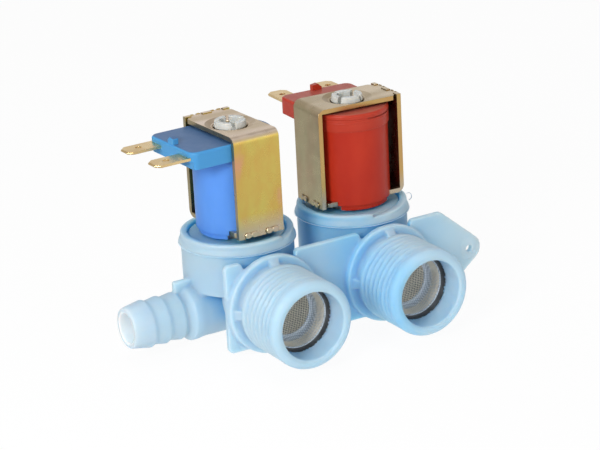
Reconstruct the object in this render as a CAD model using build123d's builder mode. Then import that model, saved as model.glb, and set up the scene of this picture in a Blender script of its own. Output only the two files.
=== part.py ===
"""Two-way water inlet valve of a washing machine.

One moulded body carries a cold and a hot threaded inlet, a chamber above and behind each,
a mounting plate with a screw lug, and one manifold tube that ends in a hose barb.
Each chamber holds a rubber diaphragm, a guide tube with a sprung plunger, and a locking
ring; a coil in a folded steel yoke stands over each guide tube.

Lengths are in millimetres. X runs along the manifold, from the barb to the screw lug,
the inlets point towards -Y and the guide tubes stand along +Z. The origin is on the front
face of the mounting plate, half way between the two inlets.
"""

from build123d import *
import os

os.makedirs("parts", exist_ok=True)

# Guide tube; the chamber and the coil are sized outwards from its bore
guide_bore_r = 3.8
guide_wall = 0.85
guide_tube_r = guide_bore_r + guide_wall
guide_hub_r = guide_tube_r + 2.75
guide_flange_t = 1.6
guide_end_t = 1.5
guide_end_drop = 2.2
insert_stroke = 1.2
prong_gap = 1.2
prong_ring_r = guide_tube_r - 0.15
prong_bore_r = prong_ring_r - 1.4
prong_bulge = 0.45
prong_catch_h = 0.5
prong_nose = 0.1
prong_over = 1.05
prong_turn = {"cold": -16, "hot": 29}

# Locking ring over the guide's flange
ring_gap = 0.15
ring_bore_r = guide_hub_r + 0.6
ring_w = 6.9
ring_edge = 0.4
ring_drop = 0.9

# Chambers
chamber_wall = 2.2
ledge_w = 1.3
chamber_upper_r = ring_bore_r + ring_w
chamber_lower_r = chamber_upper_r - ledge_w
chamber_r = chamber_upper_r + chamber_wall
chamber_round = 1.0
chamber_bottom = 1.8
chamber_floor_t = 2.7
ledge_z = 11.6
rim_r = chamber_r
rim_z = ledge_z + 7.0
rim_round = 0.6
bead_r = chamber_r + 0.7
bead_t = 0.5
bead_low = rim_z - 3.6
bead_high = rim_z - 1.6
bead_round = 0.2
seat_outer_r = 5.2
seat_bore_r = 3.6
seat_z = ledge_z - 1.1

# The dip in the rim: a step, and the ramp that climbs back from it
rim_dip = 1.3
rim_dip_len = 16.2
rim_dip_turn = 28.5
rim_step = {"cold": -66, "hot": -99}

# Layout of the body
plate_t = 2.0
chamber_gap = 5.25
plate_bite = 0.1
inlet_pitch = 2 * bead_r + chamber_gap
chamber_back = chamber_r + plate_t - plate_bite
side_x = {"cold": -inlet_pitch / 2, "hot": inlet_pitch / 2}

# Mounting plate and screw lug
plate_top = 14.5
plate_bottom = 13.1
plate_left_reach = 15.0
plate_corner_r = 1.6
notch_half_w = 9.0
notch_floor = 11.0
lug_shoulder = 20.4
lug_reach = 30.45
lug_rise = 0.35
lug_r = 4.4
lug_pad_r = 2.9
lug_pad_h = 0.3
screw_hole_r = 1.1

# Threaded inlets, drawn as the cylinder over the thread's crests
thread_r = 13.5
thread_root_r = thread_r - 1.0
thread_len = 18.9
flange_r = thread_r + 1.8
flange_t = 2.3
relief_w = 3.0
key_w = 3.2
key_sink = 0.5
key_top_r = thread_r + 0.8
inlet_bore_r = thread_r - 3.2
screen_depth = 9.4
screen_step = 1.0
well_bore_r = inlet_bore_r - screen_step
well_wall = 2.3
well_overlap = 2.6
well_bore_back = chamber_back - chamber_lower_r + well_overlap
well_end_t = 1.8
mouth_y = -(flange_t + relief_w + thread_len)
screen_y = mouth_y + screen_depth

# Manifold tube and hose barb
manifold_z = -4.7
manifold_r = 8.1
manifold_bore_r = 4.7
manifold_end_past_hot = 9.5
manifold_end_wall = 3.0
manifold_end_round = 3.0
barb_reach = 39.175
barb_tip_x = side_x["cold"] - barb_reach
barb_tip_r = 6.2
barb_tip_round = 0.5
barb_pitch = 5.1
barb_first_ridge = 6.2
barb_ridge_r = 7.35
barb_valley_drop = 0.65
barb_fall = 1.3
barb_neck_r = 6.4
barb_ridges = 3
collar_gap = 1.9
collar_r = manifold_r + 0.35
collar_w = 1.8
collar_blend = 2.4
tab_t = 1.8
tab_height = 10.8
tab_sink = 2.0

# Diaphragm and its insert
clear = 0.1
bead_inner_r = chamber_lower_r - 0.6
diaphragm_t = 0.8
diaphragm_bead_h = 1.4
web_w = 4.4
web_bend_r = bead_inner_r - web_w
insert_r = web_bend_r - 2.2
insert_t = 1.0
insert_spigot_r = 2.0
insert_spigot_drop = 1.0
pilot_r = 0.7
pilot_nose_r = 1.5
pilot_nose_h = 0.6

# Yoke, two equal folded brackets
sheet_t = 1.4
throat_r = guide_tube_r + 0.2
throat_lip = 1.0
throat_wall = 0.85
throat_len = 7.0
dish_w = 1.75
dish_r = throat_r + throat_lip + dish_w
dish_drop = 0.7
yoke_w = 15.5
yoke_gap_below = 1.35
yoke_height = 31.2
yoke_low_face = rim_z + yoke_gap_below
yoke_high_face = yoke_low_face + yoke_height
leg_over = 0.25
bend_r = 2.4
tab_w = 3.8
stake_x = 3.6
stake_head_w = 4.4
stake_head_h = 1.8
stake_head_t = 0.5
stake_head_round = 0.8
stake_waist_h = 1.0
stake_edge = 0.2
slot_gap = 0.1
plate_chamfer = 1.2
solenoid_turn = {"cold": 2.0, "hot": -92.4}

# Bobbin, winding and coil cover, sized outwards from the drawn throat
bobbin_bore_r = throat_r + throat_wall + clear
bobbin_wall = 0.85
bobbin_flange_t = 1.2
bobbin_edge = 0.8
winding_t = 3.85
winding_r = bobbin_bore_r + bobbin_wall + winding_t
cavity_r = winding_r + 0.55
cavity_floor_t = 0.8
cavity_roof_t = 1.2
throat_clear_r = throat_r + throat_lip + 0.2
cover_wall = 1.05
cover_r = cavity_r + cover_wall
cover_foot_r = cover_r - 0.75
cover_foot_h = 1.6
cover_skirt = 1.5
cover_top_gap = 0.75
head_r = cover_r + 0.4
head_h = 5.3
head_round = 0.8
groove_drop = 1.75
groove_w = 0.35
groove_deep = 0.25
block_out = 8.4
block_reach = head_r + block_out
block_corner_r = 2.6
block_lip = 2.3
block_recess = 1.0
nub_w = 3.2
nub_h = 2.0
nub_t = 1.8
nub_inset = 0.4
nub_slant = 1.3
yoke_leg_gap = 0.95
yoke_depth = 2 * (cover_r + yoke_leg_gap + sheet_t)

# Spade terminals
blade_w = 6.35
blade_t = 0.8
blade_pitch = 16.35
blade_out = 10.8
blade_tip = block_reach + blade_out
blade_root = head_r + clear
blade_drop = 2.1
blade_hole_r = 1.0
blade_hole_back = 4.9
blade_nose = 1.3
blade_edge = 0.25

# Inlet screen and flow washer
screen_rim_r = inlet_bore_r - clear
screen_wall_r = screen_rim_r - 1.9
screen_cup = 5.1
screen_dome = 0.9
screen_t = 0.4
screen_rim_w = 1.0
washer_t = 2.6
washer_hole_r = 2.6
washer_gap = 0.15
washer_back = 2.0
washer_edge = 0.4

# Heights that follow from the values above
chamber_floor = chamber_bottom + chamber_floor_t
guide_flange_z = ledge_z + diaphragm_bead_h
ring_z = guide_flange_z + guide_flange_t
ring_t = rim_z - ring_drop - ring_z
insert_z = seat_z + diaphragm_t
pilot_z = insert_z + insert_t + pilot_nose_h
yoke_floor = yoke_low_face + sheet_t
yoke_roof = yoke_high_face - sheet_t
yoke_mid = (yoke_low_face + yoke_high_face) / 2
head_z = yoke_roof - cover_top_gap
blade_z = head_z - blade_drop
cavity_low = yoke_floor + cavity_floor_t
cavity_high = head_z - cavity_roof_t
guide_end_z = yoke_roof - guide_end_drop
prong_top = yoke_high_face + prong_over
prong_catch_z = yoke_high_face - dish_drop

# Plunger, its tip and its spring
plunger_gap = 0.25
plunger_r = guide_bore_r - plunger_gap
plunger_nose_h = 2.4
plunger_nose_r = plunger_r - 1.2
plunger_groove_w = 1.2
plunger_groove_deep = 0.5
tip_r = 1.5
tip_gap = 0.05
tip_show = 1.25
tip_len = 3.2
plunger_stroke = 2.4
spring_room = 9.75
spring_wire_r = 0.25
spring_r = plunger_r - 1.35
spring_turns = 6
plunger_z = pilot_z + tip_gap + tip_show
plunger_top = guide_end_z - spring_room
plunger_len = plunger_top - plunger_z


def upright(base):
    """Plane through a vertical axis: first direction outwards, second direction up."""
    return Plane(origin=base.origin, x_dir=base.x_dir, z_dir=-base.y_dir)


def chamber_plane(side):
    """Level plane on a chamber's axis at the height of the inlets."""
    return Plane(origin=(side_x[side], chamber_back, 0), x_dir=(1, 0, 0), z_dir=(0, 0, 1))


def solenoid_plane(side):
    """Level plane on a chamber's axis, turned as the coil is turned."""
    turned = Plane(origin=(0, 0, 0)).rotated((0, 0, solenoid_turn[side]))
    return Plane(origin=(side_x[side], chamber_back, 0), x_dir=turned.x_dir, z_dir=(0, 0, 1))


def save(part, name):
    """Labels a finished piece and writes it."""
    part.label = name
    export_step(part, f"parts/{name}.step")


def barb_outline():
    """Radius of the barb and tube along X, from the tip to the closed end."""
    points = [(barb_tip_x, barb_tip_r)]
    for ridge in range(barb_ridges):
        crest_x = barb_tip_x + barb_first_ridge + ridge * barb_pitch
        valley_r = barb_ridge_r - barb_valley_drop
        if ridge == barb_ridges - 1:
            valley_r = barb_neck_r
        points.append((crest_x, barb_ridge_r))
        points.append((crest_x + barb_fall, valley_r))
    collar_x = points[-1][0] + collar_gap
    points.append((collar_x, collar_r))
    points.append((collar_x + collar_w, collar_r))
    points.append((collar_x + collar_w + collar_blend, manifold_r))
    return points


# The body: plate, lug, inlets, chambers, manifold and barb are one moulding
barb_points = barb_outline()
tube_end_x = side_x["hot"] + manifold_end_past_hot
collar_start_x = barb_points[-3][0]
ridge_top_x = barb_points[-5][0]

with BuildPart() as valve_body:
    # Mounting plate with the lug as the hull of a rectangle and a circle
    with BuildSketch(Plane.XZ.offset(-plate_t)):
        left = side_x["cold"] - plate_left_reach
        shoulder = side_x["hot"] + lug_shoulder
        middle = (plate_top - plate_bottom) / 2
        with Locations(((side_x["hot"] + shoulder) / 2, middle)):
            Rectangle(shoulder - side_x["hot"], plate_top + plate_bottom)
        with Locations((side_x["hot"] + lug_reach, lug_rise)):
            Circle(lug_r)
        make_hull()
        with Locations(((left + side_x["hot"]) / 2, middle)):
            Rectangle(side_x["hot"] - left, plate_top + plate_bottom)
        with Locations(*[(x, plate_top) for x in side_x.values()]):
            Rectangle(2 * notch_half_w, 2 * (plate_top - notch_floor), mode=Mode.SUBTRACT)
        top_corners = vertices().group_by(Axis.Y)[-1]
        low_corner = vertices().group_by(Axis.Y)[0].sort_by(Axis.X)[0]
        fillet([*top_corners, low_corner], plate_corner_r)
    extrude(amount=plate_t)

    # Low pad on the lug, round the screw hole
    with BuildSketch(Plane.XZ):
        with Locations((side_x["hot"] + lug_reach, lug_rise)):
            Circle(lug_pad_r)
    extrude(amount=lug_pad_h)

    for side, x in side_x.items():
        # Flange ring, relief groove and the cylinder over the thread, turned about the inlet
        with BuildSketch(Plane(origin=(x, 0, 0))):
            with BuildLine():
                Polyline(
                    (0, well_bore_back + well_end_t),
                    (well_bore_r + well_wall, well_bore_back + well_end_t),
                    (well_bore_r + well_wall, 0),
                    (flange_r, 0),
                    (flange_r, -flange_t),
                    (thread_root_r, -flange_t),
                    (thread_root_r, -flange_t - relief_w),
                    (thread_r, -flange_t - relief_w),
                    (thread_r, mouth_y),
                    (0, mouth_y),
                    close=True,
                )
            make_face()
        revolve(axis=Axis((x, 0, 0), (0, 1, 0)))

        # Two key nubs bridge the relief groove, at nine and twelve o'clock
        with BuildSketch(Plane.XZ.offset(flange_t / 2)):
            with Locations((x, 0)):
                with PolarLocations((thread_root_r + key_top_r) / 2 - key_sink, 2, 90, 180):
                    Rectangle(key_top_r - thread_root_r + 2 * key_sink, key_w)
        extrude(amount=flange_t / 2 + relief_w)

        # Chamber wall with its bead and rim, turned about the guide tube's axis
        base = chamber_plane(side)
        with BuildSketch(upright(base)):
            with BuildLine():
                Polyline(
                    (0, chamber_bottom),
                    (chamber_r, chamber_bottom),
                    (chamber_r, bead_low),
                    (bead_r, bead_low),
                    (bead_r, bead_low + bead_t),
                    (rim_r, bead_high),
                    (rim_r, rim_z),
                    (0, rim_z),
                    close=True,
                )
            make_face()
            low_edge = vertices().group_by(Axis.Y)[0].sort_by(Axis.X)[-1]
            fillet(low_edge, chamber_round)
            bead_edges = vertices().group_by(Axis.X)[-1]
            fillet(bead_edges, bead_round)
            rim_edge = vertices().group_by(Axis.Y)[-1].sort_by(Axis.X)[-1]
            fillet(rim_edge, rim_round)
        revolve(axis=Axis(base.origin, base.z_dir))

        # The rim drops in a step and climbs back along a ramp
        dip_turn = rim_step[side] + rim_dip_turn
        outwards = Vector(1, 0, 0).rotate(Axis.Z, dip_turn)
        along = Vector(0, 1, 0).rotate(Axis.Z, dip_turn)
        dip_plane = Plane(base.origin + outwards * chamber_lower_r * 0.88, x_dir=along, z_dir=outwards)
        with BuildSketch(dip_plane):
            with BuildLine():
                Polyline(
                    (-rim_dip_len / 2, rim_z - rim_dip),
                    (rim_dip_len / 2, rim_z),
                    (rim_dip_len / 2, rim_z + rim_dip),
                    (-rim_dip_len / 2, rim_z + rim_dip),
                    close=True,
                )
            make_face()
        extrude(amount=bead_r - chamber_lower_r * 0.88, mode=Mode.SUBTRACT)

    # Manifold tube with the barb, turned about its own axis
    tube_axis = Axis((0, chamber_back, manifold_z), (1, 0, 0))
    with BuildSketch(Plane(origin=(0, chamber_back, manifold_z), x_dir=(1, 0, 0), z_dir=(0, -1, 0))):
        with BuildLine():
            Polyline(
                (barb_tip_x, 0),
                *barb_points,
                (tube_end_x, manifold_r),
                (tube_end_x, 0),
                close=True,
            )
        make_face()
        tip = vertices().sort_by(Axis.X)[0:2].sort_by(Axis.Y)[-1]
        end = vertices().sort_by(Axis.X)[-2:].sort_by(Axis.Y)[-1]
        fillet(tip, barb_tip_round)
        fillet(end, manifold_end_round)
    revolve(axis=tube_axis)

    # Gusset tab between the last ridge and the chamber wall
    with BuildSketch(Plane.XZ.offset(-chamber_back - tab_t / 2)):
        tab_right = side_x["cold"] - chamber_r + tab_sink
        with Locations(((ridge_top_x + tab_right) / 2, manifold_z + tab_height / 2)):
            Rectangle(tab_right - ridge_top_x, tab_height)
    extrude(amount=tab_t)

    for side, x in side_x.items():
        base = chamber_plane(side)
        inlet_axis = Axis((x, 0, 0), (0, 1, 0))
        # Inlet bore with the screen's ledge, and the well behind the plate
        with BuildSketch(Plane(origin=(x, 0, 0))):
            with BuildLine():
                Polyline(
                    (0, mouth_y),
                    (inlet_bore_r, mouth_y),
                    (inlet_bore_r, screen_y),
                    (well_bore_r, screen_y),
                    (well_bore_r, well_bore_back),
                    (0, well_bore_back),
                    close=True,
                )
            make_face()
        revolve(axis=inlet_axis, mode=Mode.SUBTRACT)

        # Water space round the seat, with the ledge that carries the diaphragm
        with BuildSketch(upright(base)):
            with BuildLine():
                Polyline(
                    (seat_outer_r, chamber_floor),
                    (chamber_lower_r, chamber_floor),
                    (chamber_lower_r, ledge_z),
                    (chamber_upper_r, ledge_z),
                    (chamber_upper_r, rim_z),
                    (0, rim_z),
                    (0, seat_z),
                    (seat_outer_r, seat_z),
                    close=True,
                )
            make_face()
        revolve(axis=Axis(base.origin, base.z_dir), mode=Mode.SUBTRACT)

        # Seat bore down into the manifold
        with BuildSketch(base.offset(manifold_z)):
            Circle(seat_bore_r)
        extrude(amount=seat_z - manifold_z, mode=Mode.SUBTRACT)

    # Manifold bore, open at the barb
    with BuildSketch(Plane.YZ.offset(barb_tip_x)):
        with Locations((chamber_back, manifold_z)):
            Circle(manifold_bore_r)
    extrude(amount=tube_end_x - manifold_end_wall - barb_tip_x, mode=Mode.SUBTRACT)

    # Screw hole through the lug and its pad
    with BuildSketch(Plane.XZ.offset(-plate_t)):
        with Locations((side_x["hot"] + lug_reach, lug_rise)):
            Circle(screw_hole_r)
    extrude(amount=plate_t + lug_pad_h, mode=Mode.SUBTRACT)

save(valve_body.part, "valve_body")


def bracket(plane):
    """One folded bracket: a plate with a drawn throat, a leg, and two staked tabs.

    The plane lies half way up the yoke, with its third direction towards the plate."""
    half_h = yoke_high_face - yoke_mid
    half_d = yoke_depth / 2
    side_view = Plane(origin=plane.origin, x_dir=plane.y_dir, z_dir=plane.x_dir)
    with BuildPart() as throat:
        with BuildSketch(upright(plane)):
            with BuildLine():
                corner = (throat_r + throat_lip, half_h - dish_drop - throat_lip)
                Line((dish_r, half_h), (corner[0], corner[1] + throat_lip))
                CenterArc(corner, throat_lip, 90, 90)
                Line((throat_r, corner[1]), (throat_r, half_h - throat_len))
                Line((throat_r, half_h - throat_len), (throat_r + throat_wall, half_h - throat_len))
                Line((throat_r + throat_wall, half_h - throat_len), (throat_r + throat_wall, corner[1]))
                CenterArc(corner, throat_lip - throat_wall, 180, -90)
                Line((corner[0], corner[1] + throat_lip - throat_wall), (dish_r, half_h - sheet_t))
                Line((dish_r, half_h - sheet_t), (dish_r, half_h))
            make_face()
        revolve(axis=Axis(plane.origin, plane.z_dir))
        with BuildSketch(plane):
            Rectangle(yoke_w, yoke_depth)
        extrude(amount=half_h, mode=Mode.INTERSECT)
    with BuildPart() as piece:
        with BuildSketch(side_view) as profile:
            with BuildLine():
                Polyline(
                    (-half_d, -half_h - leg_over),
                    (-half_d + sheet_t, -half_h - leg_over),
                    (-half_d + sheet_t, half_h - sheet_t),
                    (half_d - sheet_t - slot_gap, half_h - sheet_t),
                    (half_d - sheet_t - slot_gap, half_h),
                    (-half_d, half_h),
                    close=True,
                )
            make_face()
            outer = vertices().sort_by_distance((-half_d, half_h))[0]
            inner = vertices().sort_by_distance((-half_d + sheet_t, half_h - sheet_t))[0]
            fillet(outer, bend_r)
            fillet(inner, bend_r - sheet_t)
        extrude(amount=yoke_w / 2, both=True)
        with BuildSketch(plane.offset(half_h - 2 * dish_drop - sheet_t)):
            Circle(dish_r)
        extrude(amount=2 * dish_drop + 2 * sheet_t, mode=Mode.SUBTRACT)
        add(throat.part)
        # Chamfers at the plate's free corners
        free_edges = edges().filter_by(Axis.Z).filter_by_position(
            Axis(plane.origin, plane.y_dir), half_d - sheet_t - slot_gap - 0.01, half_d
        )
        chamfer(free_edges, plate_chamfer)
        # Open slots in the leg's foot, for the other bracket's tabs
        foot = plane.offset(-half_h + sheet_t / 2)
        with BuildSketch(Plane(origin=foot.origin, x_dir=plane.x_dir, z_dir=-plane.y_dir)):
            with Locations((0, -leg_over)):
                with GridLocations(2 * stake_x, 1, 2, 1):
                    Rectangle(tab_w + 2 * slot_gap, sheet_t + 2 * slot_gap + 2 * leg_over)
        extrude(amount=half_d, mode=Mode.SUBTRACT)
        # Tabs through the other leg, each head spread into two lobes by a punch
        tab_plane = plane.offset(half_h - sheet_t / 2)
        tab_face = Plane(origin=tab_plane.origin, x_dir=plane.x_dir, z_dir=-plane.y_dir)
        with BuildSketch(tab_face.offset(-half_d)):
            with GridLocations(2 * stake_x, 1, 2, 1):
                Rectangle(tab_w, sheet_t)
        extrude(amount=sheet_t + 2 * slot_gap)
        with BuildSketch(tab_face.offset(-half_d - stake_head_t)):
            with GridLocations(2 * stake_x, 1, 2, 1):
                Rectangle(stake_head_w / 2, stake_waist_h)
                with GridLocations(stake_head_w / 2, 1, 2, 1):
                    RectangleRounded(stake_head_w / 2 - clear, stake_head_h, stake_head_round)
        extrude(amount=stake_head_t)
        head_faces = faces().sort_by(Axis(plane.origin, plane.y_dir))[-2:]
        chamfer(head_faces.edges(), stake_edge)
    return piece.part


for side, x in side_x.items():
    base = chamber_plane(side)
    lift_axis = Axis(base.origin, base.z_dir)

    # Screen: a cup of woven wire with a flat cut rim on the ledge in the inlet
    with BuildPart() as screen:
        with BuildSketch(Plane(origin=(x, 0, 0))):
            with BuildLine():
                Polyline(
                    (0, screen_y + screen_cup + screen_dome),
                    (screen_wall_r, screen_y + screen_cup),
                    (screen_rim_r - screen_rim_w, screen_y),
                    (screen_rim_r, screen_y),
                    (screen_rim_r, screen_y - screen_t),
                    (screen_rim_r - screen_rim_w - screen_t, screen_y - screen_t),
                    (screen_wall_r - screen_t, screen_y + screen_cup - screen_t),
                    (0, screen_y + screen_cup + screen_dome - screen_t),
                    close=True,
                )
            make_face()
        revolve(axis=Axis((x, 0, 0), (0, 1, 0)))
    save(screen.part, f"{side}_inlet_screen")

    # Flow washer pressed into the well behind the screen
    washer_y = screen_y + screen_cup + screen_dome + washer_back
    with BuildPart() as washer:
        with BuildSketch(Plane.XZ.offset(-washer_y)):
            with Locations((x, 0)):
                Circle(well_bore_r - washer_gap)
                Circle(washer_hole_r, mode=Mode.SUBTRACT)
        extrude(amount=-washer_t)
        chamfer(edges().filter_by(GeomType.CIRCLE).group_by(SortBy.RADIUS)[-1], washer_edge)
    save(washer.part, f"{side}_flow_washer")

    # Diaphragm: clamped bead, thin folded web and a flat centre on the seat
    with BuildPart() as diaphragm:
        with BuildSketch(upright(base)):
            with BuildLine():
                Polyline(
                    (insert_spigot_r + clear, seat_z),
                    (web_bend_r, seat_z),
                    (bead_inner_r, ledge_z + diaphragm_bead_h / 2 - diaphragm_t / 2),
                    (bead_inner_r, ledge_z),
                    (chamber_lower_r, ledge_z),
                    (chamber_upper_r - clear, ledge_z),
                    (chamber_upper_r - clear, ledge_z + diaphragm_bead_h),
                    (bead_inner_r, ledge_z + diaphragm_bead_h),
                    (bead_inner_r, ledge_z + diaphragm_bead_h / 2 + diaphragm_t / 2),
                    (web_bend_r, seat_z + diaphragm_t),
                    (insert_spigot_r + clear, seat_z + diaphragm_t),
                    close=True,
                )
            make_face()
        revolve(axis=lift_axis)
    save(diaphragm.part, f"{side}_diaphragm")

    # Insert: a stiff disc on the diaphragm, with the pilot hole through its spigot
    with BuildPart() as insert:
        with BuildSketch(upright(base)):
            with BuildLine():
                Polyline(
                    (pilot_r, seat_z - insert_spigot_drop),
                    (insert_spigot_r, seat_z - insert_spigot_drop),
                    (insert_spigot_r, insert_z),
                    (insert_r, insert_z),
                    (insert_r, insert_z + insert_t),
                    (pilot_nose_r + 0.4, insert_z + insert_t),
                    (pilot_nose_r, pilot_z),
                    (pilot_r, pilot_z),
                    close=True,
                )
            make_face()
        revolve(axis=lift_axis)
    save(insert.part, f"{side}_diaphragm_insert")

    # Guide: flange, hub, closed tube and four snap prongs
    recess_r = insert_r + 0.5
    recess_z = insert_z + insert_t + insert_stroke + 0.6
    with BuildPart() as guide:
        with BuildSketch(upright(base)):
            with BuildLine():
                Polyline(
                    (0, guide_flange_z),
                    (chamber_upper_r - clear, guide_flange_z),
                    (chamber_upper_r - clear, guide_flange_z + guide_flange_t),
                    (guide_hub_r, guide_flange_z + guide_flange_t),
                    (guide_hub_r, yoke_low_face - 0.1),
                    (guide_tube_r, yoke_low_face - 0.1),
                    (guide_tube_r, guide_end_z + guide_end_t),
                    (prong_ring_r, guide_end_z + guide_end_t),
                    (prong_ring_r, prong_catch_z - prong_catch_h),
                    (prong_ring_r + prong_bulge, prong_catch_z),
                    (prong_ring_r + prong_nose, prong_top),
                    (0, prong_top),
                    close=True,
                )
            make_face()
        revolve(axis=lift_axis)
        with BuildSketch(base.offset(guide_flange_z)):
            Circle(recess_r)
        extrude(amount=recess_z - guide_flange_z, mode=Mode.SUBTRACT)
        with BuildSketch(base.offset(guide_flange_z)):
            Circle(guide_bore_r)
        extrude(amount=guide_end_z - guide_flange_z, mode=Mode.SUBTRACT)
        with BuildSketch(base.offset(guide_end_z + guide_end_t)):
            Circle(prong_bore_r)
            Rectangle(4 * prong_ring_r, prong_gap, rotation=prong_turn[side])
            Rectangle(prong_gap, 4 * prong_ring_r, rotation=prong_turn[side])
        extrude(amount=prong_top - guide_end_z - guide_end_t, mode=Mode.SUBTRACT)
    save(guide.part, f"{side}_guide_tube")

    # Plunger with a narrow nose that holds the rubber tip
    with BuildPart() as plunger:
        with BuildSketch(upright(base)):
            with BuildLine():
                Polyline(
                    (0, plunger_z),
                    (plunger_nose_r, plunger_z),
                    (plunger_nose_r, plunger_z + plunger_nose_h - 1),
                    (plunger_r, plunger_z + plunger_nose_h),
                    (plunger_r, plunger_top),
                    (0, plunger_top),
                    close=True,
                )
            make_face()
        revolve(axis=lift_axis)
        with BuildSketch(base.offset(plunger_z)):
            Circle(tip_r)
        extrude(amount=tip_len - tip_show, mode=Mode.SUBTRACT)
        with BuildSketch(base.offset(plunger_z + plunger_nose_h)):
            with PolarLocations(plunger_r, 2):
                Rectangle(2 * plunger_groove_deep, plunger_groove_w)
        extrude(amount=plunger_len, mode=Mode.SUBTRACT)
    save(plunger.part, f"{side}_plunger")

    # Rubber tip that closes the pilot hole
    with BuildPart() as tip:
        with BuildSketch(base.offset(pilot_z + tip_gap)):
            Circle(tip_r)
        extrude(amount=tip_len)
    save(tip.part, f"{side}_plunger_tip")

    # Return spring between the plunger and the closed end of the guide
    spring_low = plunger_top + spring_wire_r + clear
    spring_high = guide_end_z - spring_wire_r - clear
    with BuildPart() as spring:
        with BuildLine():
            coil_path = Helix(
                pitch=(spring_high - spring_low) / spring_turns,
                height=spring_high - spring_low,
                radius=spring_r,
                center=(x, chamber_back, spring_low),
            )
        with BuildSketch(Plane(origin=coil_path @ 0, z_dir=coil_path % 0)):
            Circle(spring_wire_r)
        sweep(path=coil_path, is_frenet=True)
    save(spring.part, f"{side}_plunger_spring")

    # Locking ring inside the rim, pressed down on the guide's flange
    with BuildPart() as ring:
        with BuildSketch(base.offset(ring_z)):
            Circle(chamber_upper_r - ring_gap)
            Circle(ring_bore_r, mode=Mode.SUBTRACT)
        extrude(amount=ring_t)
        chamfer(edges().filter_by(GeomType.CIRCLE).group_by(Axis.Z)[-1], ring_edge)
    save(ring.part, f"{side}_locking_ring")

    # Solenoid pieces share a turned plane; terminals point along its first direction, backwards
    turned = solenoid_plane(side)
    section = upright(turned)

    # Bobbin and winding
    with BuildPart() as bobbin:
        with BuildSketch(section):
            with BuildLine():
                Polyline(
                    (bobbin_bore_r, cavity_low),
                    (cavity_r - clear / 2, cavity_low),
                    (cavity_r - clear / 2, cavity_low + bobbin_flange_t),
                    (bobbin_bore_r + bobbin_wall, cavity_low + bobbin_flange_t),
                    (bobbin_bore_r + bobbin_wall, cavity_high - bobbin_flange_t),
                    (cavity_r - clear / 2, cavity_high - bobbin_flange_t),
                    (cavity_r - clear / 2, cavity_high),
                    (bobbin_bore_r, cavity_high),
                    close=True,
                )
            make_face()
            throat_ends = vertices().group_by(Axis.X)[0]
            chamfer(throat_ends, bobbin_edge)
        revolve(axis=lift_axis)
    save(bobbin.part, f"{side}_bobbin")

    with BuildPart() as winding:
        with BuildSketch(base.offset(cavity_low + bobbin_flange_t)):
            Circle(winding_r)
            Circle(bobbin_bore_r + bobbin_wall, mode=Mode.SUBTRACT)
        extrude(amount=cavity_high - cavity_low - 2 * bobbin_flange_t)
    save(winding.part, f"{side}_winding")

    # Coil cover: moulded sleeve, wider head and terminal block in one
    with BuildPart() as cover:
        with BuildSketch(turned.offset(yoke_low_face - cover_skirt)):
            Circle(cover_foot_r)
        extrude(amount=cover_skirt + cover_foot_h)
        with BuildSketch(turned.offset(yoke_low_face - cover_skirt + cover_foot_h)):
            Circle(cover_r)
        extrude(amount=head_z - head_h / 2 - yoke_low_face + cover_skirt - cover_foot_h)
        with BuildSketch(turned.offset(head_z - head_h)):
            Circle(head_r)
            with Locations((-block_reach / 2, 0)):
                Rectangle(block_reach, 2 * head_r)
            outer_corners = vertices().group_by(Axis.X)[0]
            fillet(outer_corners, block_corner_r)
        extrude(amount=head_h)
        top_rim = faces().filter_by(Axis.Z).sort_by(Axis.Z)[-1].outer_wire().edges()
        fillet(top_rim, head_round)
        # The lower tier of the block stands back from its edge
        with BuildSketch(turned.offset(head_z - head_h)):
            with Locations((-block_reach, 0)):
                Rectangle(2 * block_recess, 2 * head_r)
        extrude(amount=block_lip, mode=Mode.SUBTRACT)
        # Catch nub at the block's outer edge
        nub_origin = turned.origin - turned.x_dir * (block_reach - nub_inset)
        with BuildSketch(Plane(nub_origin, x_dir=turned.y_dir, z_dir=turned.x_dir)):
            with BuildLine():
                Polyline(
                    (-nub_w / 2, head_z - 1),
                    (nub_w / 2, head_z - 1),
                    (nub_w / 2, head_z + nub_h * 0.45),
                    (nub_w / 2 - nub_slant, head_z + nub_h),
                    (-nub_w / 2, head_z + nub_h * 0.85),
                    close=True,
                )
            make_face()
        extrude(amount=nub_t)
        # Groove below the head's top edge
        with BuildSketch(section):
            with Locations((head_r, head_z - groove_drop)):
                Rectangle(2 * groove_deep, groove_w)
        revolve(axis=lift_axis, revolution_arc=180, mode=Mode.SUBTRACT)
        # Space for the bobbin, the drawn throats and the lower yoke plate
        with BuildSketch(base.offset(cavity_low)):
            Circle(cavity_r)
        extrude(amount=cavity_high - cavity_low, mode=Mode.SUBTRACT)
        with BuildSketch(base.offset(yoke_low_face - cover_skirt)):
            Circle(dish_r + clear)
        extrude(amount=cavity_low - yoke_low_face + cover_skirt, mode=Mode.SUBTRACT)
        with BuildSketch(base.offset(cavity_high)):
            Circle(throat_clear_r)
        extrude(amount=cavity_roof_t, mode=Mode.SUBTRACT)
        with BuildSketch(turned.offset(yoke_low_face - cover_skirt)):
            Rectangle(yoke_w + 4 * slot_gap, 4 * cover_r)
        extrude(amount=cover_skirt + sheet_t, mode=Mode.SUBTRACT)
        # Slots for the two spade terminals
        with BuildSketch(turned.offset(blade_z - blade_t / 2)):
            with Locations((-(block_reach + blade_root) / 2, 0)):
                with GridLocations(1, blade_pitch, 1, 2):
                    Rectangle(block_reach - blade_root, blade_w)
        extrude(amount=blade_t, mode=Mode.SUBTRACT)
    save(cover.part, f"{side}_coil_cover")

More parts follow.
